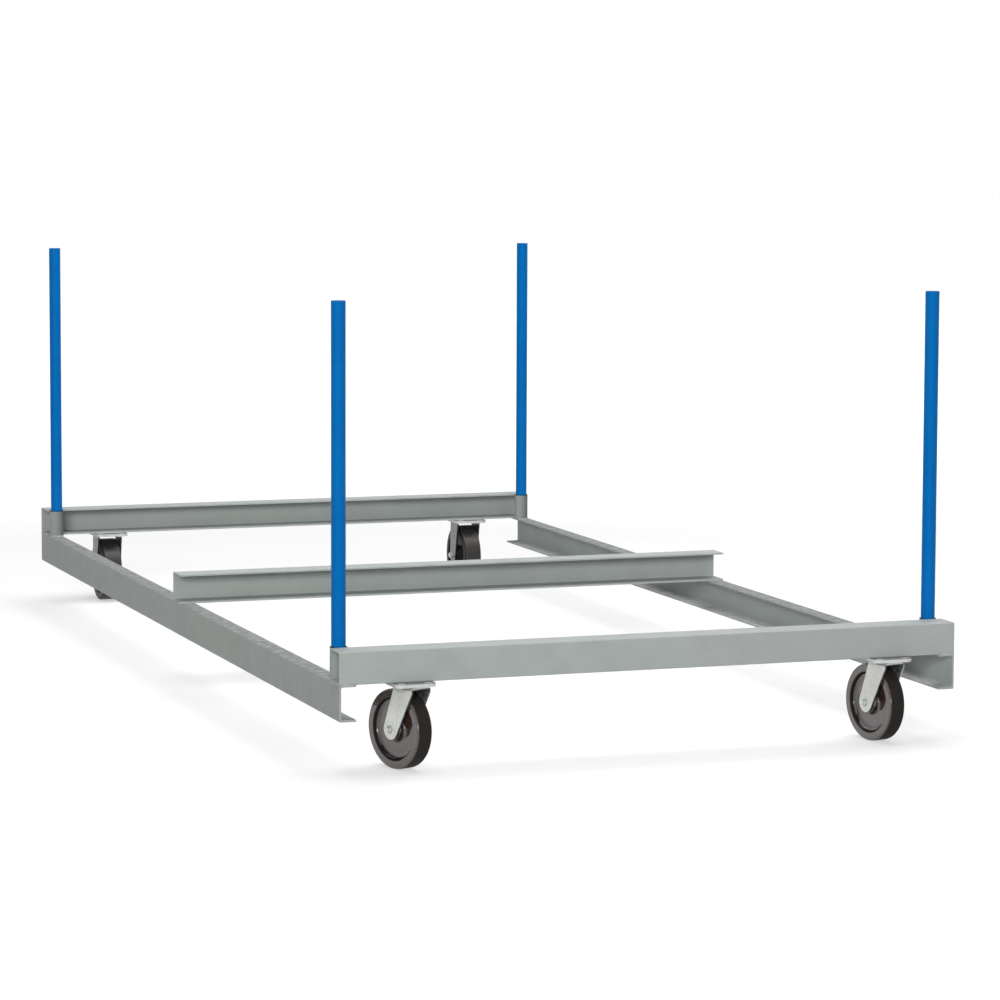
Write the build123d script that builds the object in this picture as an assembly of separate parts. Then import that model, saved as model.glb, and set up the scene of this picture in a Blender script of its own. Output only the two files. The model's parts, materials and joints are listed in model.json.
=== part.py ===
from build123d import *
import os

# Bunk cart: three cross rails on two side rails, four loose corner posts and four casters.
# Millimetres. +X is right, +Y is to the rear, +Z is up. The origin is on the floor under the middle.

# Deck
deck_width = 1219.2
deck_length = 2438.4
middle_rail_lead = 38.1  # from the cart's middle forward to the back of the middle rail's web

# Rails: channels with a rounded heel and root
cross_rail_height = 60.3
cross_rail_flange = 57.15
cross_rail_wall = 3.4
side_rail_height = 66.7
side_rail_flange = 31.75
side_rail_wall = 3.4
rail_heel_radius = 2.4
rail_root_radius = 3.5

# Corner posts and the sockets that they stand in
post_diameter = 26.7
post_wall = 2.1
post_length = 685.8
post_gap = 0.9  # around the post in its socket
socket_wall = 1.65
socket_end_inset = 4.76  # from the end of the cross rail to the side of the socket
socket_weld_gap = 0.1  # between the socket and the edge of the cross rail's flange

# Caster plates, welded under the middle of the end rails' flanges
front_caster_inset = 137.0  # from the end of the rail to the plate's middle
rear_caster_inset = 154.0
plate_width = 79.4
plate_length = 114.3
plate_thickness = 6.0
plate_corner_radius = 16.0
plate_slot_pitch_x = 50.8
plate_slot_pitch_y = 88.0
plate_slot_length = 15.0
plate_slot_width = 10.0

# Wheels: moulded, with a ring-shaped recess on each face
wheel_diameter = 147.0
front_wheel_width = 33.4
rear_wheel_width = 42.0
tread_corner_radius = 4.0
rim_depth = 15.5  # from the tread in to the edge of the recess
recess_depth = 10.0
recess_slope = 5.0  # how far in the recess wall leans
hub_diameter = 40.0
hub_flare = 4.0  # how much wider the hub's root is, each side
wheel_edge_radius = 1.2
recess_root_radius = 11.0  # sweep from the floor of the recess into its wall
hub_root_radius = 5.0

# Axles
axle_diameter = 9.53
axle_gap = 0.1  # around the axle in the legs, the sleeve and the nut
axle_tail = 1.6  # past the nut
hexagon_across_flats = 14.3  # of the axle's head and its nut
hexagon_chamfer = 1.2
axle_head_height = 6.0
nut_height = 5.6
nut_collar_diameter = 12.4
nut_collar_height = 1.6
sleeve_diameter = 14.3
roller_diameter = 5.0
roller_gap = 0.1  # to the sleeve and to the bore
roller_count = 10
roller_end_inset = 3.0  # from the hub's face to the end of the rollers
washer_diameter = 30.0
washer_thickness = 1.0
washer_gap = 0.2  # to the hub's face

# Forks
front_wheel_side_gap = 1.5  # from the side of the wheel to the leg
rear_wheel_side_gap = 4.0
tread_clearance = 3.6  # between the crown and the top of the wheel
fork_thickness = 4.76
fork_bend_radius = 3.0
leg_top_width = 49.0
leg_shoulder = 10.0  # height of the leg's square top
leg_end_radius = 18.5
left_swivel_angle = 20.8  # how far the front forks are turned at rest, anticlockwise from above
right_swivel_angle = 10.9
swivel_trail = 20.6  # from the swivel axis back to the axle
swivel_leg_lead = 15.0  # from the swivel axis forward to the middle of the leg's top
rigid_setback = 6.0  # from the middle of a rear plate back to its axle
rigid_leg_lead = 10.0  # from a rear axle forward to the middle of the leg's top

# Swivel heads: a ring of balls between the plate and the crown, held by a riveted kingpin
race_gap = 3.2
ball_diameter = 6.35
ball_circle_diameter = 40.0
ball_count = 18
ball_gap = 0.23  # around the balls in their grooves
crown_diameter = 51.0
crown_dish_diameter = 26.0
crown_dish_depth = 2.0
crown_dish_slope = 2.0
kingpin_diameter = 12.0
kingpin_gap = 0.08  # around the pin, and over its riveted end
kingpin_head_diameter = 20.0
kingpin_head_height = 2.6
rivet_diameter = 20.0
rivet_height = 3.0

# Heights
caster_height = plate_thickness + race_gap + fork_thickness + tread_clearance + wheel_diameter
deck_underside = caster_height
axle_level = wheel_diameter / 2 - caster_height  # from the plate's top face
plate_underside = -plate_thickness
crown_top = plate_underside - race_gap
crown_underside = crown_top - fork_thickness
ball_level = (plate_underside + crown_top) / 2

# Places and sizes shared by several pieces
half_width = deck_width / 2
half_length = deck_length / 2
socket_diameter = post_diameter + 2 * (post_gap + socket_wall)
socket_x = half_width - socket_end_inset - socket_diameter / 2
socket_y = half_length - cross_rail_flange - socket_weld_gap - socket_diameter / 2
caster_y = half_length - cross_rail_flange / 2
front_fork_gap = front_wheel_width + 2 * front_wheel_side_gap  # between the legs
rear_fork_gap = rear_wheel_width + 2 * rear_wheel_side_gap
hub_bore = sleeve_diameter + 2 * (roller_diameter + 2 * roller_gap)

up = Vector(0, 0, 1)
right = Vector(1, 0, 0)
back = Vector(0, 1, 0)


def corners(section, x, y):
    """Corners of a section at one place and at its mirror image across the middle."""
    reach = 0.01
    spots = section.vertices().filter_by(lambda spot: abs(spot.Y - y) < reach)
    return spots.filter_by(lambda spot: abs(abs(spot.X) - x) < reach)


def channel(height, flange, wall):
    """Section of a channel: web along the left side, flanges to the right."""
    section = make_face(
        Polyline(
            (0, 0),
            (flange, 0),
            (flange, wall),
            (wall, wall),
            (wall, height - wall),
            (flange, height - wall),
            (flange, height),
            (0, height),
            close=True,
        )
    )
    root = section.vertices().group_by(Axis.X)[1]
    section = fillet(root, rail_root_radius)
    heel = section.vertices().group_by(Axis.X)[0]
    return fillet(heel, rail_heel_radius)


def rail(section, length, start, flange_side):
    """Channel that starts at the foot of its web and runs square to its flanges."""
    end_plane = Plane(origin=start, x_dir=flange_side, z_dir=flange_side.cross(up))
    return extrude(end_plane * section, amount=length)


def cross_rail(y, flange_side):
    section = channel(cross_rail_height, cross_rail_flange, cross_rail_wall)
    run = flange_side.cross(up)
    start = Vector(-half_width * run.X, y, deck_underside)
    return rail(section, deck_width, start, flange_side)


def side_rail(x, flange_side):
    section = channel(side_rail_height, side_rail_flange, side_rail_wall)
    run = flange_side.cross(up)
    start = Vector(x, -half_length * run.Y, deck_underside - side_rail_height)
    return rail(section, deck_length, start, flange_side)


def tube(outside, wall, length):
    ring = Circle(outside / 2) - Circle(outside / 2 - wall)
    return extrude(ring, amount=length)


def along_x(section, start, end):
    """Prism between two stations on the axle, its section drawn about the axle."""
    return Pos(0, 0, axle_level) * extrude(Plane.YZ.offset(start) * section, amount=end - start)


def top_plate():
    outline = RectangleRounded(plate_width, plate_length, plate_corner_radius)
    slots = GridLocations(plate_slot_pitch_x, plate_slot_pitch_y, 2, 2)
    outline -= slots * SlotOverall(plate_slot_length, plate_slot_width)
    return extrude(outline, amount=-plate_thickness)


def ball_groove():
    return Pos(0, 0, ball_level) * Torus(ball_circle_diameter / 2, ball_diameter / 2 + ball_gap)


def turned(points):
    """Solid turned about the swivel axis from a half section."""
    return revolve(Plane.XZ * make_face(Polyline(*points, close=True)), axis=Axis.Z)


def swivel_plate():
    """Top plate with a ball groove below and the kingpin's head let into it."""
    hole_radius = kingpin_diameter / 2 + kingpin_gap
    head_radius = kingpin_head_diameter / 2 + kingpin_gap
    pocket = turned(
        [
            (0, 0),
            (head_radius, 0),
            (head_radius, -kingpin_head_height),
            (hole_radius, -kingpin_head_height),
            (hole_radius, plate_underside),
            (0, plate_underside),
        ]
    )
    return top_plate() - pocket - ball_groove()


def kingpin():
    pin_radius = kingpin_diameter / 2
    head_radius = kingpin_head_diameter / 2
    rivet_radius = rivet_diameter / 2
    rivet_top = crown_underside + crown_dish_depth - kingpin_gap
    pin = turned(
        [
            (0, 0),
            (head_radius, 0),
            (head_radius, -kingpin_head_height),
            (pin_radius, -kingpin_head_height),
            (pin_radius, rivet_top),
            (rivet_radius, rivet_top),
            (rivet_radius, rivet_top - rivet_height),
            (0, rivet_top - rivet_height),
        ]
    )
    rivet_rim = pin.edges().filter_by(GeomType.CIRCLE).group_by(Axis.Z)[0]
    return fillet(rivet_rim, rivet_height / 2)


def balls():
    ring = PolarLocations(ball_circle_diameter / 2, ball_count)
    return Pos(0, 0, ball_level) * Part(children=[spot * Sphere(ball_diameter / 2) for spot in ring])


def crown():
    """Round bearing plate of the fork, dished in the middle for the kingpin's end."""
    hole_radius = kingpin_diameter / 2 + kingpin_gap
    dish_radius = crown_dish_diameter / 2
    foot_radius = dish_radius + crown_dish_slope
    rim_radius = crown_diameter / 2
    return turned(
        [
            (hole_radius, crown_top + crown_dish_depth),
            (dish_radius, crown_top + crown_dish_depth),
            (foot_radius, crown_top),
            (rim_radius, crown_top),
            (rim_radius, crown_underside),
            (foot_radius, crown_underside),
            (dish_radius, crown_underside + crown_dish_depth),
            (hole_radius, crown_underside + crown_dish_depth),
        ]
    )


def leg_outline(top, lead, axle_y):
    """Side view of a leg: a square top that runs down and back to a round end at the axle."""
    shoulder = Pos(axle_y - lead, top - leg_shoulder / 2) * Rectangle(leg_top_width, leg_shoulder)
    end = Pos(axle_y, axle_level) * Circle(leg_end_radius)
    outline = make_hull(shoulder.edges() + end.edges())
    return outline - Pos(axle_y, axle_level) * Circle(axle_diameter / 2 + axle_gap)


def swivel_fork():
    """One pressing: crown and two legs, bent down along both sides."""
    inside = front_fork_gap / 2
    outside = inside + fork_thickness
    foot = axle_level - leg_end_radius
    bend = make_face(
        Polyline(
            (-outside, foot),
            (-outside, crown_top),
            (outside, crown_top),
            (outside, foot),
            (inside, foot),
            (inside, crown_underside),
            (-inside, crown_underside),
            (-inside, foot),
            close=True,
        )
    )
    bend = fillet(corners(bend, inside, crown_underside), fork_bend_radius)
    bend = fillet(corners(bend, outside, crown_top), fork_bend_radius + fork_thickness)
    reach = leg_top_width + swivel_trail + leg_end_radius
    strip = extrude(Plane.XZ * bend, amount=reach, both=True)
    lead = swivel_leg_lead + swivel_trail
    side = extrude(Plane.YZ * leg_outline(crown_top, lead, swivel_trail), amount=outside, both=True)
    middle = Pos(0, 0, crown_top) * Cylinder(crown_dish_diameter / 2 + crown_dish_slope, 2 * fork_thickness)
    return (strip & side) - middle + crown() - ball_groove()


def rigid_leg(side):
    """Flat leg that stands under the plate, on the left for -1 and on the right for 1."""
    outline = leg_outline(plate_underside, rigid_leg_lead, rigid_setback)
    return extrude(Plane.YZ.offset(side * rear_fork_gap / 2) * outline, amount=side * fork_thickness)


def hub_length(fork_gap):
    return fork_gap - 2 * (washer_thickness + washer_gap)


def wheel(width, fork_gap):
    """Moulded wheel, turned about its axle: flat tread, deep ring recess, hub proud of the rim."""
    tread = wheel_diameter / 2
    face = width / 2
    floor = face - recess_depth
    recess_rim = tread - rim_depth
    recess_foot = recess_rim - recess_slope
    hub_face = hub_length(fork_gap) / 2
    hub_rim = hub_diameter / 2
    hub_foot = hub_rim + hub_flare
    half = [
        (hub_face, hub_bore / 2),
        (hub_face, hub_rim),
        (floor, hub_foot),
        (floor, recess_foot),
        (face, recess_rim),
        (face, tread),
    ]
    other_half = [(-x, radius) for x, radius in reversed(half)]
    section = make_face(Polyline(*half, *other_half, close=True))

    section = fillet(corners(section, face, tread), tread_corner_radius)
    section = fillet(corners(section, face, recess_rim), wheel_edge_radius)
    section = fillet(corners(section, hub_face, hub_rim), wheel_edge_radius)
    section = fillet(corners(section, floor, recess_foot), recess_root_radius)
    section = fillet(corners(section, floor, hub_foot), hub_root_radius)
    return Pos(0, 0, axle_level) * revolve(section, axis=Axis.X)


def roller_bearing(fork_gap):
    half = hub_length(fork_gap) / 2 - roller_end_inset
    pitch_radius = sleeve_diameter / 2 + roller_gap + roller_diameter / 2
    ring = PolarLocations(pitch_radius, roller_count)
    return Part(children=[along_x(spot * Circle(roller_diameter / 2), -half, half) for spot in ring])


def axle_sleeve(fork_gap):
    ring = Circle(sleeve_diameter / 2) - Circle(axle_diameter / 2 + axle_gap)
    return along_x(ring, -fork_gap / 2, fork_gap / 2)


def thrust_washers(fork_gap):
    ring = Circle(washer_diameter / 2) - Circle(sleeve_diameter / 2 + axle_gap)
    outer = fork_gap / 2
    inner = outer - washer_thickness
    return Part(children=[along_x(ring, inner, outer), along_x(ring, -outer, -inner)])


def hexagonal(inner, outer):
    """Hexagon along the axle, its outer corners chamfered."""
    outline = RegularPolygon(hexagon_across_flats / 2, 6, major_radius=False)
    corner_radius = hexagon_across_flats / 3**0.5
    blank = along_x(Circle(corner_radius), inner, outer)
    rim = blank.edges().filter_by(GeomType.CIRCLE).sort_by(lambda edge: abs(edge.center().X))[-1]
    return chamfer(rim, hexagon_chamfer) & along_x(outline, inner, outer)


def axle_bolt(fork_gap):
    outside = fork_gap / 2 + fork_thickness
    tail = outside + nut_height + nut_collar_height + axle_tail
    shank = along_x(Circle(axle_diameter / 2), -tail, outside)
    return hexagonal(outside, outside + axle_head_height) + shank


def axle_nut(fork_gap):
    outside = fork_gap / 2 + fork_thickness
    shoulder = outside + nut_height
    end = shoulder + nut_collar_height
    collar = along_x(Circle(nut_collar_diameter / 2), -end, -shoulder)
    bore = along_x(Circle(axle_diameter / 2 + axle_gap), -end, -outside)
    return hexagonal(-outside, -shoulder) + collar - bore


def wheel_set(width, fork_gap):
    """Wheel and axle pieces, about an axle that is straight below the plate's middle."""
    return {
        "wheel": wheel(width, fork_gap),
        "roller_bearing": roller_bearing(fork_gap),
        "axle_sleeve": axle_sleeve(fork_gap),
        "thrust_washers": thrust_washers(fork_gap),
        "axle_bolt": axle_bolt(fork_gap),
        "axle_nut": axle_nut(fork_gap),
    }


def swivel_caster():
    """Pieces of a front caster, split into those that stay and those that swivel."""
    fixed = {"caster_plate": swivel_plate(), "kingpin": kingpin(), "swivel_balls": balls()}
    turning = {"fork": swivel_fork()}
    for name, piece in wheel_set(front_wheel_width, front_fork_gap).items():
        turning[name] = Pos(0, swivel_trail, 0) * piece
    return fixed, turning


def rigid_caster():
    """Pieces of a rear caster, whose axle is a little behind the plate's middle."""
    pieces = {"caster_plate": top_plate(), "left_leg": rigid_leg(-1), "right_leg": rigid_leg(1)}
    for name, piece in wheel_set(rear_wheel_width, rear_fork_gap).items():
        pieces[name] = Pos(0, rigid_setback, 0) * piece
    return pieces


nodes = {
    "front_rail": cross_rail(-half_length, back),
    "middle_rail": cross_rail(-middle_rail_lead, -back),
    "rear_rail": cross_rail(half_length, -back),
    "left_side_rail": side_rail(-half_width, right),
    "right_side_rail": side_rail(half_width, -right),
}

socket = tube(socket_diameter, socket_wall, cross_rail_height)
post = tube(post_diameter, post_wall, post_length)
swivel_fixed, swivel_turning = swivel_caster()
rigid_pieces = rigid_caster()

for side, sign_x, swivel_angle in (("left", -1, left_swivel_angle), ("right", 1, right_swivel_angle)):
    for end, sign_y in (("front", -1), ("rear", 1)):
        corner = Pos(sign_x * socket_x, sign_y * socket_y, deck_underside)
        nodes[f"{end}_{side}_socket"] = corner * socket
        nodes[f"{end}_{side}_post"] = corner * post
    front = Pos(sign_x * (half_width - front_caster_inset), -caster_y, deck_underside)
    rear = Pos(sign_x * (half_width - rear_caster_inset), caster_y, deck_underside)
    for name, piece in swivel_fixed.items():
        nodes[f"front_{side}_{name}"] = front * piece
    for name, piece in swivel_turning.items():
        nodes[f"front_{side}_{name}"] = front * Rot(0, 0, swivel_angle) * piece
    for name, piece in rigid_pieces.items():
        nodes[f"rear_{side}_{name}"] = rear * piece

os.makedirs("parts", exist_ok=True)
for name, piece in nodes.items():
    export_step(piece, f"parts/{name}.step")
print(f"{len(nodes)} nodes, caster height {caster_height:.2f}, post top {deck_underside + post_length:.2f}")
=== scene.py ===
# %% [markdown]
# # A bunk cart, dressed for its portrait
# A bunk cart carries stacks of board across a building site: channel rails, loose corner posts, four casters.
# The solids come from the CAD model and stay where they are. This script adds finishes, weld beads,
# soft light and a camera at the photograph's viewing angle.

# %% Load the frame
import json
import math

import bmesh
import bpy
from mathutils import Matrix, Vector


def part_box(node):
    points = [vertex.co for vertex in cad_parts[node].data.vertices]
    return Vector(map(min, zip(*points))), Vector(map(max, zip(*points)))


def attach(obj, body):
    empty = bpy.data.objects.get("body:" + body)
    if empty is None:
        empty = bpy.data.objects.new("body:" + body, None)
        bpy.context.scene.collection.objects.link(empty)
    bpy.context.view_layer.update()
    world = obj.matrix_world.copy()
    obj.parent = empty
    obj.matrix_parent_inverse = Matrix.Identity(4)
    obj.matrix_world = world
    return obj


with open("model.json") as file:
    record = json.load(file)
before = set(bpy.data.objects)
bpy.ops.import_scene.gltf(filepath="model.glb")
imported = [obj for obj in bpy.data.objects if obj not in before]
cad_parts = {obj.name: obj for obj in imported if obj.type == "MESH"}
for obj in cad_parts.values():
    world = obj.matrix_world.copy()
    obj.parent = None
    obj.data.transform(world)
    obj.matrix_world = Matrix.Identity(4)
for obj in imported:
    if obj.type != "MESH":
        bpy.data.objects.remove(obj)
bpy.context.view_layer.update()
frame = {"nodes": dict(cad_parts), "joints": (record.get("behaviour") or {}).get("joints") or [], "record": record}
nodes = frame["nodes"]
scene = bpy.context.scene

# %% [markdown]
# ## Camera
# The photograph was taken with a long lens from the front left, a little above the deck. A camera was fitted
# to the edges of the rails in the picture, which gave its place, its three angles and its focal length.
# Its height is kept above the deck, so that it follows the cart if the casters change.

# %% Camera
photo_width = 1000.0
focal_pixels = 3722.977
yaw = math.radians(19.531)
pitch = math.radians(5.514)
roll = math.radians(-0.213)
principal_rise = 50.0
deck_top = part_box("front_rail")[1].z
camera_place = Vector((-2.543184, -7.524822, deck_top + 1.001068))

forward = Vector((math.sin(yaw) * math.cos(pitch), math.cos(yaw) * math.cos(pitch), -math.sin(pitch)))
level = Vector((math.cos(yaw), -math.sin(yaw), 0.0))
upright = level.cross(forward)
side = level * math.cos(roll) - upright * math.sin(roll)
above = side.cross(forward)

lens_data = bpy.data.cameras.new("portrait_camera")
lens_data.sensor_width = 36.0
lens_data.lens = lens_data.sensor_width * focal_pixels / photo_width
lens_data.shift_y = -principal_rise / photo_width
lens_data.clip_end = 100.0
camera = bpy.data.objects.new("portrait_camera", lens_data)
axes = Matrix((side, above, -forward)).transposed()
camera.matrix_world = Matrix.Translation(camera_place) @ axes.to_4x4()
scene.collection.objects.link(camera)
scene.camera = camera
print("lens", round(lens_data.lens, 1), "mm")

# %% [markdown]
# ## Small tools for node trees
# World, floor and finishes are all node trees. A few helpers keep them short. The first adds a node and fills its
# inputs, with a link where the value is another node's socket. The others do one thing each: a sum, a range that is
# stretched over another, a colour laid over a second one or made paler, a noise, a place or a direction.

# %% Node helpers
wide = (0.3, 0.7)  # nearly all of a noise lies between these values
narrow = (0.35, 0.65)


def put(tree, kind, inputs=None, **settings):
    """Adds a shader node. An input given as a socket is linked, any other value is set."""
    node = tree.nodes.new("ShaderNode" + kind)
    for name, value in settings.items():
        setattr(node, name, value)
    for name, value in (inputs or {}).items():
        if isinstance(value, bpy.types.NodeSocket):
            tree.links.new(value, node.inputs[name])
        else:
            node.inputs[name].default_value = value
    return node


def sums(tree, operation, first, second=0.0):
    """One sum of two values."""
    return put(tree, "Math", {0: first, 1: second}, operation=operation).outputs[0]


def spread(tree, value, low, high, to_low, to_high):
    """Stretches one range of values over another and holds the ends."""
    reach = {"Value": value, "From Min": low, "From Max": high, "To Min": to_low, "To Max": to_high}
    return put(tree, "MapRange", reach).outputs[0]


def band(tree, value, rise, fall, fade):
    """1 between two values and 0 outside, with soft ends."""
    entering = spread(tree, value, rise - fade, rise + fade, 0.0, 1.0)
    leaving = spread(tree, value, fall - fade, fall + fade, 1.0, 0.0)
    return sums(tree, "MINIMUM", entering, leaving)


def mixed(tree, mask, below, over):
    """Lays one colour over another where the mask is white."""
    return put(tree, "Mix", {0: mask, 6: below, 7: over}, data_type="RGBA").outputs[2]


def shaded(tree, colour, factor):
    """Makes a colour paler or darker."""
    return put(tree, "VectorMath", {0: colour, "Scale": factor}, operation="SCALE").outputs[0]


def noise(tree, place, scale, detail):
    """Soft patches, so many to the metre."""
    return put(tree, "TexNoise", {"Vector": place, "Scale": scale, "Detail": detail}).outputs[0]


def own_place(tree):
    """Object coordinates, in metres."""
    return put(tree, "TexCoord").outputs["Object"]


def parts_of(tree, vector):
    """X, Y and Z of a vector."""
    return put(tree, "SeparateXYZ", {0: vector}).outputs


def facing(tree):
    """X, Y and Z of the direction that a face looks in."""
    return parts_of(tree, put(tree, "NewGeometry").outputs["Normal"])


def seen_by_eye(tree):
    """1 for what the camera sees, also in mirrors and through glass, and 0 for light that falls on the cart."""
    path = put(tree, "LightPath").outputs
    shown = sums(tree, "MAXIMUM", path["Is Camera Ray"], path["Is Glossy Ray"])
    return sums(tree, "MAXIMUM", shown, path["Is Transmission Ray"])


print("node helpers ready")

# %% [markdown]
# ## Light and floor
# It is a catalogue picture on white. Soft light comes from above and from the front left, where a wide key lamp stands
# so far off that near and far rails are lit alike. A low lamp below it reaches under the front rail, a weak one on the
# right opens the shadows, and one behind lights what the camera doesn't see. The key, the weak lamp and the one behind
# shine through polarising film, as in a real studio, so that flat paint has no glare from any side: they are left out
# of glossy reflections. The low lamp isn't, and gives the wheels their highlights. The world is white to the eye and
# in every mirror, and adds next to nothing as a lamp. The floor is white paper that keeps the cart's shadow. Far away
# it glows white by itself, so no horizon shows.

# %% World
white = (1.0, 1.0, 1.0, 1.0)
world_as_lamp = 0.02
scene.view_settings.view_transform = "Standard"
world = bpy.data.worlds.new("white_studio")
scene.world = world
world.use_nodes = True
tree = world.node_tree
background = tree.nodes["Background"]
background.inputs["Color"].default_value = white
tree.links.new(spread(tree, seen_by_eye(tree), 0.0, 1.0, world_as_lamp, 1.0), background.inputs["Strength"])
print("world:", world.name)

# %% Lamps
cart_middle = Vector((0.0, 0.0, 0.2))


def softbox(name, place, width, height, watts, mirrored=False):
    """A rectangular lamp that looks at the cart. Only a mirrored one shows as glare in paint and metal."""
    lamp = bpy.data.lights.new(name, "AREA")
    lamp.shape = "RECTANGLE"
    lamp.size = width
    lamp.size_y = height
    lamp.energy = watts
    holder = bpy.data.objects.new(name, lamp)
    aim = (cart_middle - Vector(place)).to_track_quat("-Z", "Y")
    holder.matrix_world = Matrix.Translation(place) @ aim.to_matrix().to_4x4()
    holder.visible_glossy = mirrored
    scene.collection.objects.link(holder)


softbox("overhead", place=(0.4, 0.0, 4.4), width=4.0, height=5.0, watts=236.0, mirrored=True)
softbox("key", place=(-6.0, -12.0, 4.0), width=5.0, height=3.0, watts=1130.0)
softbox("key_low", place=(-6.0, -13.0, 1.5), width=5.0, height=2.2, watts=205.0, mirrored=True)
softbox("front_right", place=(2.4, -12.5, 6.0), width=5.2, height=4.0, watts=210.0)
softbox("rear_fill", place=(9.0, 7.0, 6.5), width=5.0, height=3.0, watts=260.0)

# %% Floor
floor_half = 60.0
floor_colour = (0.50, 0.50, 0.50, 1.0)
near_glow = 0.5
glow_starts = 2.4
glow_ends = 5.0

floor_mesh = bpy.data.meshes.new("floor")
shape = bmesh.new()
bmesh.ops.create_grid(shape, x_segments=1, y_segments=1, size=floor_half)
shape.to_mesh(floor_mesh)
shape.free()
floor = bpy.data.objects.new("floor", floor_mesh)
scene.collection.objects.link(floor)

paper = bpy.data.materials.new("white_paper")
paper.use_nodes = True
tree = paper.node_tree
tree.nodes.clear()
distance = put(tree, "VectorMath", {0: own_place(tree)}, operation="LENGTH").outputs["Value"]
strength = sums(tree, "MULTIPLY", spread(tree, distance, glow_starts, glow_ends, near_glow, 1.0), seen_by_eye(tree))
matte = put(tree, "BsdfDiffuse", {"Color": floor_colour})
glow = put(tree, "Emission", {"Strength": strength})
both = put(tree, "AddShader", {0: matte.outputs[0], 1: glow.outputs[0]})
put(tree, "OutputMaterial", {"Surface": both.outputs[0]})
floor_mesh.materials.append(paper)
print("floor:", 2 * floor_half, "m square")

# %% [markdown]
# ## Effects that several finishes share
# Paint, plating and resin differ in colour, but they age alike. Each effect below is a node group, built once
# and placed in every finish that needs it with its own values. A group puts out only colours, masks, values and
# heights: the shader itself stays in the material.

# %% Group helper
mid_grey = (0.5, 0.5, 0.5, 1.0)


def new_group(name, takes, gives):
    """A shader node group with named inputs (with their starting values) and outputs."""
    group = bpy.data.node_groups.new(name, "ShaderNodeTree")
    for label, kind, value in takes:
        socket = group.interface.new_socket(label, in_out="INPUT", socket_type="NodeSocket" + kind)
        socket.default_value = value
    for label, kind in gives:
        group.interface.new_socket(label, in_out="OUTPUT", socket_type="NodeSocket" + kind)
    entry = group.nodes.new("NodeGroupInput").outputs
    result = group.nodes.new("NodeGroupOutput").inputs
    return group, entry, result


print("group helper ready")

# %% [markdown]
# Sprayed enamel is never one flat tone. It is laid on in passes, so it drifts slowly between a greener and a
# more neutral grey, and its skin dries to a fine orange peel. A slow noise mixes the two tones, a finer one
# varies the gloss, and a third gives the height of the peel.

# %% Enamel skin
pass_scale = 2.2
cloud_scale, cloud_shade = 17.0, (0.96, 1.04)
haze_scale, haze_change = 48.0, (-0.06, 0.06)

enamel_skin, entry, result = new_group(
    "enamel_skin",
    [("Colour", "Color", mid_grey), ("Second Tone", "Color", mid_grey), ("Gloss", "Float", 0.4),
     ("Peel", "Float", 380.0)],
    [("Colour", "Color"), ("Roughness", "Float"), ("Height", "Float")],
)
tree = enamel_skin
place = own_place(tree)
passes = spread(tree, noise(tree, place, pass_scale, detail=3.0), *narrow, 0.0, 1.0)
cloud = spread(tree, noise(tree, place, cloud_scale, detail=4.0), *wide, *cloud_shade)
tone = mixed(tree, passes, entry["Colour"], entry["Second Tone"])
tree.links.new(shaded(tree, tone, cloud), result["Colour"])
haze = spread(tree, noise(tree, place, haze_scale, detail=3.0), *wide, *haze_change)
tree.links.new(sums(tree, "ADD", entry["Gloss"], haze), result["Roughness"])
tree.links.new(noise(tree, place, entry["Peel"], detail=1.0), result["Height"])
print("group:", enamel_skin.name)

# %% [markdown]
# Paint and plating wear first along outer edges, where boards and boots rub. Rays sent into the metal find such
# edges: they meet another face within a millimetre or two only close to a corner. A patchy noise breaks the line.

# %% Edge rub
corner_share = (0.5, 0.95)  # of the rays that meet nothing, at a corner and away from it
patch_range, patch_shade = (0.38, 0.62), (0.15, 1.0)

edge_rub, entry, result = new_group(
    "edge_rub", [("Reach", "Float", 0.0014), ("Patch", "Float", 30.0)], [("Mask", "Float")]
)
tree = edge_rub
inward = put(tree, "AmbientOcclusion", {"Distance": entry["Reach"]}, inside=True, only_local=True, samples=8)
line = spread(tree, inward.outputs["AO"], *corner_share, 1.0, 0.0)
patch = spread(tree, noise(tree, own_place(tree), entry["Patch"], detail=5.0), *patch_range, *patch_shade)
tree.links.new(sums(tree, "MULTIPLY", line, patch), result["Mask"])
print("group:", edge_rub.name)

# %% [markdown]
# Dust settles on what looks up and stays in clouds. The mask is the surface's own upward slope times a soft noise.
# It is kept between two heights, so that one film darkens the tops of the side rails while a pale one lies in their
# troughs, partly as painted light.

# %% Dust
resting_slope = (0.3, 1.0)  # of the direction's Z, from where dust slides off to where all of it stays
thickest = 0.7

upward_film, entry, result = new_group(
    "upward_film",
    [("Amount", "Float", 0.2), ("Size", "Float", 7.0), ("Bare", "Float", 0.42), ("Lowest", "Float", -1.0),
     ("Highest", "Float", 10.0)],
    [("Mask", "Float")],
)
tree = upward_film
place = own_place(tree)
lying = spread(tree, facing(tree)["Z"], *resting_slope, 0.0, 1.0)
drift = spread(tree, noise(tree, place, entry["Size"], detail=6.0), entry["Bare"], thickest, 0.0, 1.0)
lot = sums(tree, "MULTIPLY", sums(tree, "MULTIPLY", lying, drift), entry["Amount"])
height = parts_of(tree, place)["Z"]
clear = sums(tree, "GREATER_THAN", height, entry["Lowest"])
within = sums(tree, "MULTIPLY", clear, sums(tree, "LESS_THAN", height, entry["Highest"]))
tree.links.new(sums(tree, "MINIMUM", sums(tree, "MULTIPLY", lot, within), 1.0), result["Mask"])
print("group:", upward_film.name)

# %% [markdown]
# Plated and drawn steel shows the metal below: faint lines from rolling, and grains of zinc that catch the light
# one by one. A noise squeezed along one direction gives the lines, and cells give the grains.

# %% Steel grain
line_scale, line_dulling = (900.0, 900.0, 45.0), (-0.08, 0.1)
sparkle_shade = (0.92, 1.07)
stain_scale, stain_range, stain_shade = 26.0, (0.35, 0.7), (1.0, 0.88)

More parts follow.
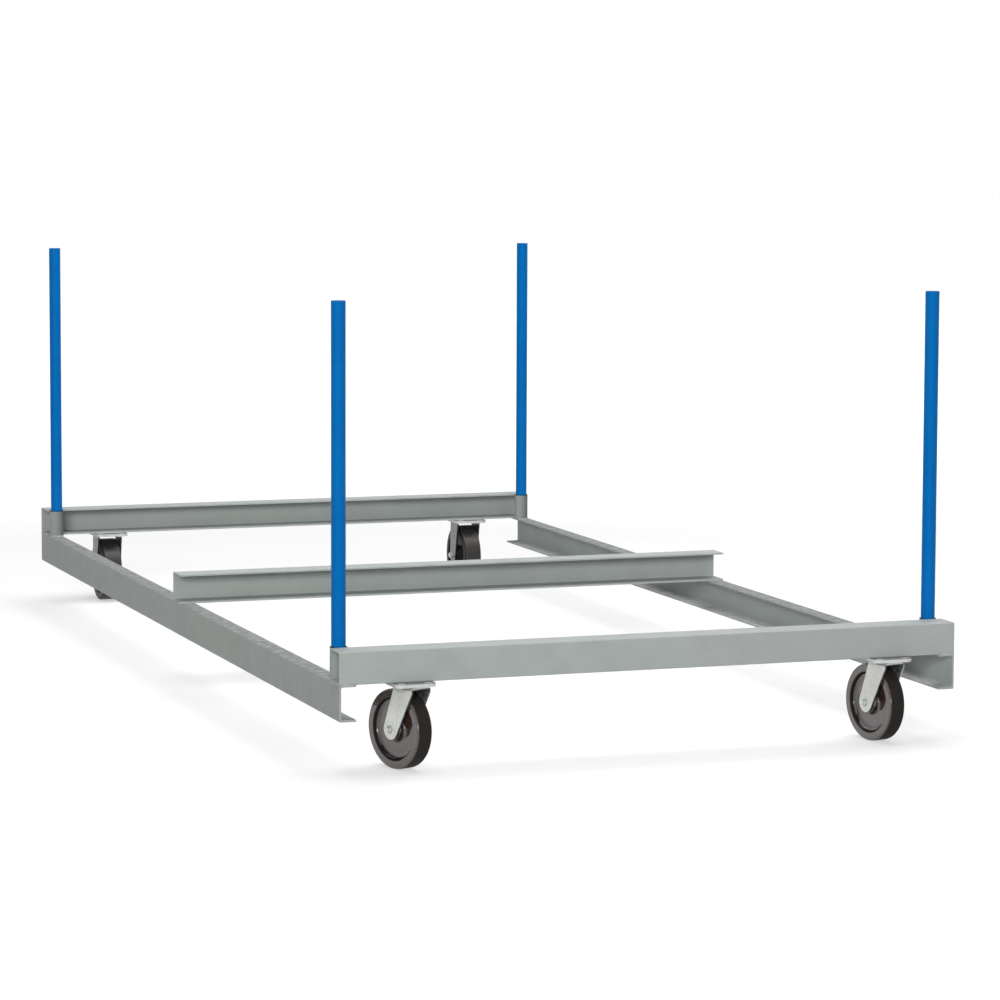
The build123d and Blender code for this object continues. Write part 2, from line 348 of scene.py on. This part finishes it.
steel_grain, entry, result = new_group(
    "steel_grain",
    [("Colour", "Color", mid_grey), ("Gloss", "Float", 0.4), ("Grain", "Float", 260.0)],
    [("Colour", "Color"), ("Roughness", "Float"), ("Height", "Float")],
)
tree = steel_grain
place = own_place(tree)
squeezed = put(tree, "Mapping", {"Vector": place, "Scale": line_scale}).outputs[0]
lines = noise(tree, squeezed, 1.0, detail=2.0)
cells = put(tree, "TexVoronoi", {"Vector": place, "Scale": entry["Grain"]}).outputs["Color"]
sparkle = spread(tree, parts_of(tree, cells)["X"], 0.0, 1.0, *sparkle_shade)
stain = spread(tree, noise(tree, place, stain_scale, detail=4.0), *stain_range, *stain_shade)
tree.links.new(shaded(tree, entry["Colour"], sums(tree, "MULTIPLY", sparkle, stain)), result["Colour"])
dulling = spread(tree, lines, *wide, *line_dulling)
tree.links.new(sums(tree, "ADD", entry["Gloss"], dulling), result["Roughness"])
tree.links.new(lines, result["Height"])
print("group:", steel_grain.name)

# %% [markdown]
# A phenolic wheel is cloth and resin pressed hot in a mould. Its faces are dark and polished, with faint rings and
# flecks of cloth, and they mirror the pale floor and the fork. The sweep of the recess is painted black as shade, with
# a dull ring there that has no polish, the face round the hub is painted darker as the fork leg's shadow, and the
# middle of the tread is rubbed black by the floor. All of that goes by the distance from the axle and along it, so the
# group takes a place that each wheel's own Mapping node has centred and turned. A fine line around the tread is the
# mould's parting line.

# %% Pressed resin, its sizes
# This black is painted shade: in the sweep of each wheel's recess, round its hub, inside the forks and at the socket
# ends.
shade_black = (0.010, 0.009, 0.009, 1.0)
tread_black = (0.020, 0.0175, 0.0155, 1.0)
hub_shade, hub_shade_amount = (0.28, 0.36), 0.85  # places are shares of the wheel's radius
ragged_scale, ragged_change = 90.0, (-0.06, 0.06)
recess_shade, recess_shade_fade = (0.655, 0.782), 0.012
dull_ring, dull_fade = (0.744, 0.800), 0.008
rim_starts = (0.77, 0.80)
tread_starts = (0.90, 0.93)
polish_ends = (0.985, 1.0)
ring_count, ring_shade, ring_gloss, ring_height = 26.0, (0.9, 1.1), (0.24, 0.34), 0.3
blotch_scale, blotch_shade = 60.0, (0.86, 1.12)
fleck_scale, fleck_shade = 330.0, (0.78, 1.22)
scuff_scale, scuff_range, scuff_amount = 220.0, (0.55, 0.75), 0.12
tread_fade, tread_dulling = 0.0008, 0.28
parting_line = (0.0004, 0.0010)
print("wheel: recess from", hub_shade[1], "to", rim_starts[1], "of the radius")

# %% Pressed resin
pressed_resin, entry, result = new_group(
    "pressed_resin",
    [("Place", "Vector", (0.0, 0.0, 0.0)), ("Radius", "Float", 0.07), ("Worn", "Float", 0.013),
     ("Face", "Color", (0.1, 0.1, 0.1, 1.0)), ("Rim", "Color", (0.1, 0.1, 0.1, 1.0)),
     ("Face Polish", "Float", 0.0), ("Tread Polish", "Float", 0.0)],
    [("Colour", "Color"), ("Roughness", "Float"), ("Height", "Float"), ("Coat", "Float")],
)
tree = pressed_resin
own = entry["Place"]
across = put(tree, "VectorMath", {0: own, 1: (0.0, 1.0, 1.0)}, operation="MULTIPLY").outputs[0]
out = put(tree, "VectorMath", {0: across}, operation="LENGTH").outputs["Value"]
share = sums(tree, "DIVIDE", out, entry["Radius"])
along = sums(tree, "ABSOLUTE", parts_of(tree, own)["X"])

turns = put(tree, "CombineXYZ", {0: sums(tree, "MULTIPLY", share, ring_count)}).outputs[0]
rings = noise(tree, turns, 1.0, detail=3.0)
blotch = spread(tree, noise(tree, own, blotch_scale, detail=5.0), *narrow, *blotch_shade)
flecks = spread(tree, noise(tree, own, fleck_scale, detail=2.0), *narrow, *fleck_shade)
tone = sums(tree, "MULTIPLY", sums(tree, "MULTIPLY", blotch, flecks), spread(tree, rings, *wide, *ring_shade))
brown = mixed(tree, spread(tree, share, *rim_starts, 0.0, 1.0), entry["Face"], entry["Rim"])
face = shaded(tree, brown, tone)

# Painted shade: the recess sweep and the face round the hub turn black.
recess_shading = band(tree, share, *recess_shade, recess_shade_fade)
ragged_share = sums(tree, "ADD", share, spread(tree, noise(tree, own, ragged_scale, detail=4.0), *wide, *ragged_change))
hub_shading = spread(tree, ragged_share, *hub_shade, hub_shade_amount, 0.0)
outer = spread(tree, share, *tread_starts, 0.0, 1.0)
off_middle = sums(tree, "SUBTRACT", along, entry["Worn"])
tread = sums(tree, "MULTIPLY", outer, spread(tree, off_middle, -tread_fade, tread_fade, 1.0, 0.0))
scuff = spread(tree, noise(tree, own, scuff_scale, detail=6.0), *scuff_range, 0.0, scuff_amount)
black = mixed(tree, scuff, tread_black, entry["Rim"])
face_with_shade = mixed(tree, sums(tree, "MAXIMUM", recess_shading, hub_shading), face, shade_black)
tree.links.new(mixed(tree, tread, face_with_shade, black), result["Colour"])

face_gloss = spread(tree, rings, *wide, *ring_gloss)
tree.links.new(sums(tree, "ADD", face_gloss, sums(tree, "MULTIPLY", tread, tread_dulling)), result["Roughness"])
past_polish = spread(tree, share, *polish_ends, 0.0, 1.0)
dull = sums(tree, "MAXIMUM", band(tree, share, *dull_ring, dull_fade), past_polish)
face_coat = sums(tree, "MULTIPLY", sums(tree, "SUBTRACT", 1.0, dull), entry["Face Polish"])
tread_coat = sums(tree, "MULTIPLY", tread, entry["Tread Polish"])
tree.links.new(sums(tree, "MAXIMUM", face_coat, tread_coat), result["Coat"])
parting = sums(tree, "MULTIPLY", tread, spread(tree, along, *parting_line, 1.0, 0.0))
tree.links.new(sums(tree, "ADD", sums(tree, "MULTIPLY", rings, ring_height), parting), result["Height"])
print("group:", pressed_resin.name)

# %% [markdown]
# The insides of the fork's legs and crown are painted black as shade. The group takes the same place, centred on
# the wheel, and marks what lies between the legs' inner faces.

# %% Wheel black
leg_fade = (0.0030, 0.0042)
crown_fade = 0.0010
shade_patch_scale, shade_patch_range = 120.0, (0.8, 1.0)

fork_inside_shade, entry, result = new_group(
    "fork_inside_shade",
    [("Place", "Vector", (0.0, 0.0, 0.0)), ("Inside", "Float", 0.018), ("Top", "Float", 0.08)],
    [("Mask", "Float")],
)
tree = fork_inside_shade
parts = parts_of(tree, entry["Place"])
beyond = sums(tree, "SUBTRACT", sums(tree, "ABSOLUTE", parts["X"]), entry["Inside"])
higher = sums(tree, "SUBTRACT", parts["Z"], entry["Top"])
between = spread(tree, beyond, *leg_fade, 1.0, 0.0)
below = spread(tree, higher, 0.0, crown_fade, 1.0, 0.0)
shade_patches = spread(tree, noise(tree, entry["Place"], shade_patch_scale, detail=4.0), *wide, *shade_patch_range)
tree.links.new(sums(tree, "MULTIPLY", sums(tree, "MULTIPLY", between, below), shade_patches), result["Mask"])
print("group:", fork_inside_shade.name)

# %% [markdown]
# ## Finishes
# The frame is sprayed after welding: satin grey, slightly green. The posts are blue so that they are seen between
# boards. Casters are zinc plated, with wheels of brown-black phenolic resin. Each finish is one principled shader
# fed by the groups.

# %% Material helper
def new_finish(name, constants):
    """A material with a principled shader. Values that are the same all over are set on its own sockets."""
    material = bpy.data.materials.new(name)
    material.use_nodes = True
    shader = material.node_tree.nodes["Principled BSDF"]
    for socket, value in constants.items():
        shader.inputs[socket].default_value = value
    return material, material.node_tree, shader


def wire(tree, shader, colour, roughness, height, depth):
    """Feeds colour, roughness and a bump of the given depth (metres) into the shader."""
    bump = put(tree, "Bump", {"Height": height, "Distance": depth, "Strength": 1.0}).outputs[0]
    tree.links.new(colour, shader.inputs["Base Color"])
    tree.links.new(roughness, shader.inputs["Roughness"])
    tree.links.new(bump, shader.inputs["Normal"])


print("material helpers ready")

# %% [markdown]
# ### Enamels
# Frame and posts are sprayed by hand. Side rails and sockets are painted a little darker than the frame, as shade,
# and each socket's right side darker still. The tops of the side rails are painted darker, the pale dust in their
# troughs is partly painted light, and the inside of their webs is painted paler, as light. One function makes every
# enamel: paint, worn edges, films, and last the places with painted light or shade. So each finish is a few values
# and no second set of nodes.

# %% Enamel helpers
film_dulling = 0.3
# how far round a pipe the painted shade on its right side reaches
shade_reach = 0.95
rim_fade = 0.0008
inside_share = (-0.9, -0.5)  # of the direction's X, from a face that looks inwards to one that doesn't
inside_light_scale, inside_light_amount = 9.0, (0.5, 1.0)


def enamel(name, colour, second_tone, gloss, ior, bare, wear, peel_depth, films, mouth=None, light_or_shade_mask=None, light_or_shade_colour=None):
    """Sprayed enamel: peel and drift, worn edges that show a paler coat, and films on top, some partly painted light.

    An optional mask adds painted light or painted shade in its own colour. Above the height given as mouth, the end
    of the pipe is painted black as the shade in the gap round the post."""
    material, tree, shader = new_finish(name, {"IOR": ior})
    tones = {"Colour": colour, "Second Tone": second_tone, "Gloss": gloss}
    skin = put(tree, "Group", tones, node_tree=enamel_skin).outputs
    rubbed = put(tree, "Group", {}, node_tree=edge_rub).outputs["Mask"]
    final = mixed(tree, sums(tree, "MULTIPLY", rubbed, wear), skin["Colour"], bare)
    rough = skin["Roughness"]
    for reach, film in films:
        film_mask = put(tree, "Group", reach, node_tree=upward_film).outputs["Mask"]
        final = mixed(tree, film_mask, final, film)
        rough = sums(tree, "ADD", rough, sums(tree, "MULTIPLY", film_mask, film_dulling))
    if light_or_shade_mask is not None:
        final = mixed(tree, light_or_shade_mask(tree), final, light_or_shade_colour)
    # Painted shade: above the mouth height the end of the pipe turns black, as the gap round the post.
    if mouth is not None:
        rise = parts_of(tree, own_place(tree))["Z"]
        final = mixed(tree, spread(tree, rise, mouth - rim_fade, mouth, 0.0, 1.0), final, shade_black)
    wire(tree, shader, final, rough, skin["Height"], peel_depth)
    return material


def right_side_shade(tree):
    """The right side of a pipe, painted darker as shade."""
    return spread(tree, facing(tree)["X"], -shade_reach, shade_reach, 0.0, 1.0)


def channel_inside(tree):
    """The inside of a side rail's web, painted paler as light."""
    place = own_place(tree)
    hand = sums(tree, "SIGN", parts_of(tree, place)["X"])
    inward = spread(tree, sums(tree, "MULTIPLY", facing(tree)["X"], hand), *inside_share, 1.0, 0.0)
    return sums(tree, "MULTIPLY", inward, spread(tree, noise(tree, place, inside_light_scale, detail=4.0), *wide, *inside_light_amount))


print("enamel helpers ready")

# %% Enamels
green_grey, plain_grey = (0.332, 0.368, 0.346, 1.0), (0.342, 0.362, 0.360, 1.0)
# The side rails are painted a little darker than the frame, as shade.
side_shade_green, side_shade_plain = (0.302, 0.335, 0.315, 1.0), (0.311, 0.329, 0.328, 1.0)
# The sockets are painted a little darker than the frame, as shade.
socket_shade_green, socket_shade_plain = (0.292, 0.324, 0.304, 1.0), (0.300, 0.318, 0.316, 1.0)
weld_grey = (0.39, 0.40, 0.385, 1.0)
post_blue, second_blue, pale_blue = (0.0, 0.125, 0.400, 1.0), (0.001, 0.132, 0.420, 1.0), (0.22, 0.36, 0.60, 1.0)
pale_coat = (0.66, 0.68, 0.66, 1.0)
# Painted shade on the right side of each socket.
right_side_shade_grey = (0.100, 0.110, 0.104, 1.0)
# Painted light: the paler inside of the side rails' webs.
inside_light_grey = (0.386, 0.428, 0.402, 1.0)
dust_colour = (0.47, 0.45, 0.42, 1.0)
pale_dust_and_light = (0.56, 0.56, 0.55, 1.0)
darker_top_grey = (0.205, 0.211, 0.205, 1.0)
trough = 0.02
flange_room = 0.01

side_foot, side_top = (corner.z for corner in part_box("left_side_rail"))
light_dust = ({"Amount": 0.12}, dust_colour)
weld_dust = ({"Amount": 0.2}, dust_colour)
post_dust = ({"Amount": 0.03}, dust_colour)
# Pale dust in the side rails' troughs, partly painted light.
trough_dust_and_light = ({"Amount": 1.5, "Size": 30.0, "Bare": 0.2, "Highest": side_foot + trough}, pale_dust_and_light)
# A darker grey film on the tops of the side rails.
side_top_darkening = ({"Amount": 1.3, "Size": 60.0, "Bare": 0.2, "Lowest": side_top - flange_room}, darker_top_grey)

satin = {"gloss": 0.50, "ior": 1.25, "bare": pale_coat, "wear": 0.45, "peel_depth": 0.00006}
over_welds = satin | {"wear": 0.6, "peel_depth": 0.00012}
glossy = {"gloss": 0.36, "ior": 1.15, "bare": pale_blue, "wear": 0.35, "peel_depth": 0.00005}
grey_enamel = enamel("grey_enamel", green_grey, plain_grey, **satin, films=[light_dust])
side_light_and_shade_enamel = enamel("side_light_and_shade_enamel", side_shade_green, side_shade_plain, **satin, films=[side_top_darkening, trough_dust_and_light],
                     light_or_shade_mask=channel_inside, light_or_shade_colour=inside_light_grey)
socket_enamel = enamel("socket_enamel", socket_shade_green, socket_shade_plain, **satin, films=[light_dust],
                       mouth=deck_top - rim_fade, light_or_shade_mask=right_side_shade, light_or_shade_colour=right_side_shade_grey)
weld_enamel = enamel("weld_enamel", green_grey, weld_grey, **over_welds, films=[weld_dust])
blue_enamel = enamel("blue_enamel", post_blue, second_blue, **glossy, films=[post_dust])
print("enamels:", [finish.name for finish in (grey_enamel, side_light_and_shade_enamel, socket_enamel, weld_enamel, blue_enamel)])

# %% [markdown]
# ### Zinc and bare steel
# The casters are pressed from rolled steel and zinc plated. New zinc is bright, old zinc goes chalky and is hardly
# metallic any more, and the tops of the plates are painted dark grey as the shade below the rails. What runs inside
# the hubs is bare and greased. One function makes all of them from the grain, rub and dust groups, with one more mark
# of painted shade where it is needed.

# %% Metal helpers
metal_patch = 60.0
metal_dust_size = 22.0
metal_dulling = 0.35
edge_brightness = 1.25
plate_shade_slope = (0.4, 0.7)


def metal(name, shine, colour, gloss, grain, depth, wear, dust, film, light_or_shade_mask=None, shade_colour=shade_black):
    """Plated or bare steel: rolled lines, grain, bright edges and a film of dust or old grease.

    shine is 1 for clean metal and less where the plating has gone chalky. An optional mask adds painted shade in its
    own colour."""
    material, tree, shader = new_finish(name, {"Metallic": shine})
    skin = put(tree, "Group", {"Colour": colour, "Gloss": gloss, "Grain": grain}, node_tree=steel_grain).outputs
    rubbed = put(tree, "Group", {"Patch": metal_patch}, node_tree=edge_rub).outputs["Mask"]
    film_mask = put(tree, "Group", {"Amount": dust, "Size": metal_dust_size}, node_tree=upward_film).outputs["Mask"]
    bright = tuple(min(1.0, edge_brightness * part) for part in colour[:3]) + (1.0,)
    edged = mixed(tree, sums(tree, "MULTIPLY", rubbed, wear), skin["Colour"], bright)
    final = mixed(tree, film_mask, edged, film)
    rough = sums(tree, "ADD", skin["Roughness"], sums(tree, "MULTIPLY", film_mask, metal_dulling))
    if light_or_shade_mask is not None:
        final = mixed(tree, light_or_shade_mask(tree), final, shade_colour)
    wire(tree, shader, final, rough, skin["Height"], depth)
    return material


def plate_top_shade(tree):
    """Top of a caster plate, painted dark grey as the shade below the rail."""
    return spread(tree, facing(tree)["Z"], *plate_shade_slope, 0.0, 1.0)


def axle_place(tree, centre, turn):
    """Object coordinates, centred on a wheel and turned so that X runs along its axle."""
    own = {"Vector": own_place(tree), "Location": centre, "Rotation": (0.0, 0.0, turn)}
    return put(tree, "Mapping", own, vector_type="TEXTURE").outputs[0]


def between_legs(centre, turn, inside, top):
    """Mask of the painted shade inside one fork."""
    def light_or_shade_mask(tree):
        reach = {"Place": axle_place(tree, centre, turn), "Inside": inside, "Top": top}
        return put(tree, "Group", reach, node_tree=fork_inside_shade).outputs["Mask"]
    return light_or_shade_mask


print("metal helpers ready")

# %% Metals
zinc_grey = (0.62, 0.635, 0.62, 1.0)
plate_grey = (0.58, 0.59, 0.575, 1.0)
# The plates' tops are painted dark grey, as shade.
plate_shade_grey = (0.17, 0.175, 0.17, 1.0)
fork_grey = (0.71, 0.725, 0.705, 1.0)
# The rear legs are painted darker than the zinc, as shade.
leg_shade_grey = (0.24, 0.245, 0.24, 1.0)
steel_grey = (0.44, 0.44, 0.45, 1.0)
grease_brown = (0.12, 0.10, 0.07, 1.0)

new_zinc = {"shine": 1.0, "gloss": 0.30, "grain": 320.0, "depth": 0.00002, "wear": 0.6, "dust": 0.3,
            "film": dust_colour}
chalky_zinc = new_zinc | {"shine": 0.25, "gloss": 0.50, "dust": 0.2}
dull_zinc = new_zinc | {"gloss": 0.48, "depth": 0.00003, "wear": 0.8}
greased = {"shine": 1.0, "gloss": 0.30, "grain": 500.0, "depth": 0.00001, "wear": 0.5, "dust": 0.5,
           "film": grease_brown}
bright_zinc = metal("bright_zinc", colour=zinc_grey, **new_zinc)
plate_zinc = metal("plate_zinc", colour=plate_grey, **chalky_zinc, light_or_shade_mask=plate_top_shade, shade_colour=plate_shade_grey)
bare_steel = metal("bare_steel", colour=steel_grey, **greased)
print("metals:", bright_zinc.name, plate_zinc.name, bare_steel.name)

# %% [markdown]
# ### Wheels and their forks
# The front forks have gone chalky, and their wheels are polished enough to mirror the floor and the fork. The rear
# legs are duller steel, painted darker as shade, with wheels that are black all over and shine only on the tread. The
# insides of all forks are painted black as shade. Each wheel and the fork around it share one place, which comes from
# the wheel's own box and its axle.

# %% Wheels and forks
face_brown = (0.040, 0.024, 0.018, 1.0)
rim_brown = (0.040, 0.027, 0.022, 1.0)
resin_black = (0.014, 0.012, 0.011, 1.0)
resin_ior = 1.15
resin_relief = 0.0002
front_polish = {"Coat Roughness": 0.05, "Coat IOR": 1.88}
rear_polish = {"Coat Roughness": 0.40}
tread_share = 0.9
worn_share = 0.93
crown_room = 0.005

finish_near = {}
for joint in frame["joints"]:
    if not joint["name"].endswith("_wheel_spin"):
        continue
    corner = joint["name"].removesuffix("_wheel_spin")
    wheel = nodes[f"{corner}_wheel"]
    low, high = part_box(f"{corner}_wheel")
    centre = (low + high) / 2
    radius = (high.z - low.z) / 2
    axle = Vector(joint["axis"])
    turn = math.atan2(axle.y, axle.x)
    reach = [(vert.co - centre, abs((vert.co - centre).dot(axle))) for vert in wheel.data.vertices]
    half_width = max(along for offset, along in reach if offset.cross(axle).length > tread_share * radius)
    at_front = corner.startswith("front")

    polish = front_polish if at_front else rear_polish
    material, tree, shader = new_finish(f"resin_{corner}", {"IOR": resin_ior} | polish)
    if at_front:
        look = {"Face": face_brown, "Rim": rim_brown, "Face Polish": 1.0}
    else:
        look = {"Face": resin_black, "Rim": resin_black, "Tread Polish": 0.7}
    look.update({"Place": axle_place(tree, centre, turn), "Radius": radius, "Worn": worn_share * half_width})
    resin = put(tree, "Group", look, node_tree=pressed_resin).outputs
    wire(tree, shader, resin["Colour"], resin["Roughness"], resin["Height"], resin_relief)
    tree.links.new(resin["Coat"], shader.inputs["Coat Weight"])
    finish_near[f"{corner}_wheel"] = material

    holders = [f"{corner}_fork"] if at_front else [f"{corner}_left_leg", f"{corner}_right_leg"]
    legs = [vert.co - centre for holder in holders for vert in nodes[holder].data.vertices if vert.co.z < centre.z]
    inside = min(abs(offset.dot(axle)) for offset in legs)
    # The inside of each fork is painted black as shade.
    fork_shade = between_legs(centre, turn, inside, radius + crown_room)
    if at_front:
        holding = metal(f"fork_{corner}", colour=fork_grey, **chalky_zinc, light_or_shade_mask=fork_shade)
    else:
        holding = metal(f"legs_{corner}", colour=leg_shade_grey, **dull_zinc, light_or_shade_mask=fork_shade)
    finish_near.update({holder: holding for holder in holders})
    print(corner, "half width", round(half_width, 4), "inside of the legs", round(inside, 4))

# %% [markdown]
# Every CAD node now gets its finish: by its own name where one was made for it, and otherwise by its material slot.

# %% Dress the CAD nodes
finish_of = {
    "frame_paint": grey_enamel,
    "post_paint": blue_enamel,
    "zinc": bright_zinc,
    "bare_steel": bare_steel,
}
finish_near.update({node: socket_enamel for node in nodes if node.endswith("_socket")})
finish_near.update({node: side_light_and_shade_enamel for node in nodes if node.endswith("_side_rail")})
finish_near.update({node: plate_zinc for node in nodes if node.endswith("_plate")})
for subpart in frame["record"]["subparts"]:
    node = subpart["node"]
    mesh = nodes[node].data
    mesh.materials.clear()
    mesh.materials.append(finish_near.get(node) or finish_of[subpart["material_slot"]])

# %% [markdown]
# ## Weld beads
# Rails, sockets, caster plates and the rear legs are welded. A bead is a row of overlapping ripples laid into the
# corner between two pieces, half of it melted in. Here a small ring is extruded step by step along the seam, and
# every other ring is swollen, which leaves one closed skin. A row of spheres would be quicker, but it would hide
# faces inside. The same helper follows straight seams and the round foot of a socket.

# %% Bead helpers
bead_sides = 10
bead_radius = 0.0019
ripple = 0.0013
pinch = 0.86
end_pinch = 0.45


def lay_bead(shape, first_ring, advance, steps):
    """Extrudes a ring along a seam. advance is the move from one ring to the next."""
    centre = first_ring.to_translation()
    made = bmesh.ops.create_circle(shape, segments=bead_sides, radius=bead_radius * end_pinch, matrix=first_ring)
    ring = made["verts"]
    edges = list({edge for vert in ring for edge in vert.link_edges})
    size = end_pinch
    for step in range(1, steps + 1):
        grown = bmesh.ops.extrude_edge_only(shape, edges=edges)["geom"]
        ring = [part for part in grown if isinstance(part, bmesh.types.BMVert)]
        here = set(ring)
        edges = [part for part in grown if isinstance(part, bmesh.types.BMEdge) and here.issuperset(part.verts)]
        bmesh.ops.transform(shape, matrix=advance, verts=ring)
        centre = advance @ centre
        target = end_pinch if step == steps else (1.0 if step % 2 else pinch)
        bmesh.ops.scale(shape, vec=[target / size] * 3, space=Matrix.Translation(-centre), verts=ring)
        size = target


def straight_bead(shape, start, end):
    """Bead from one point to another."""
    run = Vector(end) - Vector(start)
    steps = round(run.length / ripple)
    ring = Matrix.Translation(start) @ run.to_track_quat("Z", "Y").to_matrix().to_4x4()
    lay_bead(shape, ring, Matrix.Translation(run / steps), steps)


def round_bead(shape, centre, radius, first, last):
    """Bead around an upright pipe, between two angles."""
    steps = round(abs(last - first) * radius / ripple)
    start = Matrix.Translation(centre) @ Matrix.Rotation(first, 4, "Z") @ Matrix.Translation((radius, 0.0, 0.0))
    turn = Matrix.Rotation((last - first) / steps, 4, "Z")
    ring = start @ Matrix.Rotation(math.radians(90.0), 4, "X")
    lay_bead(shape, ring, Matrix.Translation(centre) @ turn @ Matrix.Translation(-centre), steps)


def finish_beads(name, shape, finish):
    """Closes the bead ends, turns the faces outwards and puts the beads on the frame."""
    open_edges = [edge for edge in shape.edges if edge.is_boundary]
    bmesh.ops.holes_fill(shape, edges=open_edges, sides=0)
    bmesh.ops.recalc_face_normals(shape, faces=shape.faces)
    for face in shape.faces:
        face.smooth = True
    mesh = bpy.data.meshes.new(name)
    shape.to_mesh(mesh)
    shape.free()
    mesh.materials.append(finish)
    piece = bpy.data.objects.new(name, mesh)
    scene.collection.objects.link(piece)
    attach(piece, "frame")
    print(name, len(mesh.polygons), "faces")


print("bead helpers ready")

# %% [markdown]
# ### Rail seats
# Each cross rail sits on both side rails. Beads close the flush outer end, the side rail's flange edge below, and
# the web where it meets the side rail. The middle rail has one more along its flange.

# %% Rail seats
end_gap = 0.003
shape = bmesh.new()
for rail, web_at_rear in (("front_rail", False), ("middle_rail", True), ("rear_rail", True)):
    low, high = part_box(rail)
    seams_y = [high.y if web_at_rear else low.y]
    if rail == "middle_rail":
        seams_y.append(low.y)
    for side_rail in ("left_side_rail", "right_side_rail"):
        side_low, side_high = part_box(side_rail)
        for x in (side_low.x, side_high.x):
            straight_bead(shape, (x, low.y + end_gap, low.z), (x, high.y - end_gap, low.z))
        for y in seams_y:
            straight_bead(shape, (side_low.x + end_gap, y, low.z), (side_high.x - end_gap, y, low.z))
finish_beads("rail_seat_welds", shape, weld_enamel)

# %% [markdown]
# ### Socket feet
# A socket stands on the side rail's flange, against the edge of the cross rail. Its bead runs round the foot from
# the cross rail to where the flange ends, and a short tie near its top holds it to the edge of the cross rail's flange.

# %% Socket feet
towards_rail = math.radians(48.0)
away_from_rail = math.radians(132.0)
tie_half = 0.008
tie_drop = 0.0045
shape = bmesh.new()
for end, end_sign in (("front", -1.0), ("rear", 1.0)):
    rail_low, rail_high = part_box(f"{end}_rail")
    edge_y = rail_high.y if end_sign < 0.0 else rail_low.y
    for hand, hand_sign in (("left", -1.0), ("right", 1.0)):
        low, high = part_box(f"{end}_{hand}_socket")
        foot = Vector(((low.x + high.x) / 2, (low.y + high.y) / 2, low.z))
        outward = 0.0 if hand_sign > 0.0 else math.pi
        sense = -end_sign * hand_sign
        round_bead(shape, foot, (high.x - low.x) / 2, outward - sense * towards_rail, outward + sense * away_from_rail)
        tie_z = high.z - tie_drop
        straight_bead(shape, (foot.x - tie_half, edge_y, tie_z), (foot.x + tie_half, edge_y, tie_z))
finish_beads("socket_welds", shape, weld_enamel)

# %% [markdown]
# ### Caster welds
# The plates are stitched to the end rails below the flange, with two short beads along each side edge and a long one
# where the flange ends. The rear legs have a bead along the top of their outer faces. All are sprayed with the frame.

# %% Caster welds
stitch_inset = 0.008
stitch_length = 0.014
shape = bmesh.new()
for end in ("front", "rear"):
    rail_low, rail_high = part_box(f"{end}_rail")
    for hand in ("left", "right"):
        low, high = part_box(f"{end}_{hand}_caster_plate")
        for x in (low.x, high.x):
            for y in (rail_low.y + stitch_inset, rail_high.y - stitch_inset - stitch_length):
                straight_bead(shape, (x, y, high.z), (x, y + stitch_length, high.z))
        y = rail_high.y if end == "front" else rail_low.y
        straight_bead(shape, (low.x + stitch_inset, y, high.z), (high.x - stitch_inset, y, high.z))
for hand in ("left", "right"):
    for leg in ("left", "right"):
        low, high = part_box(f"rear_{hand}_{leg}_leg")
        x = low.x if leg == "left" else high.x
        straight_bead(shape, (x, low.y + end_gap, high.z), (x, high.y - end_gap, high.z))
finish_beads("caster_welds", shape, weld_enamel)
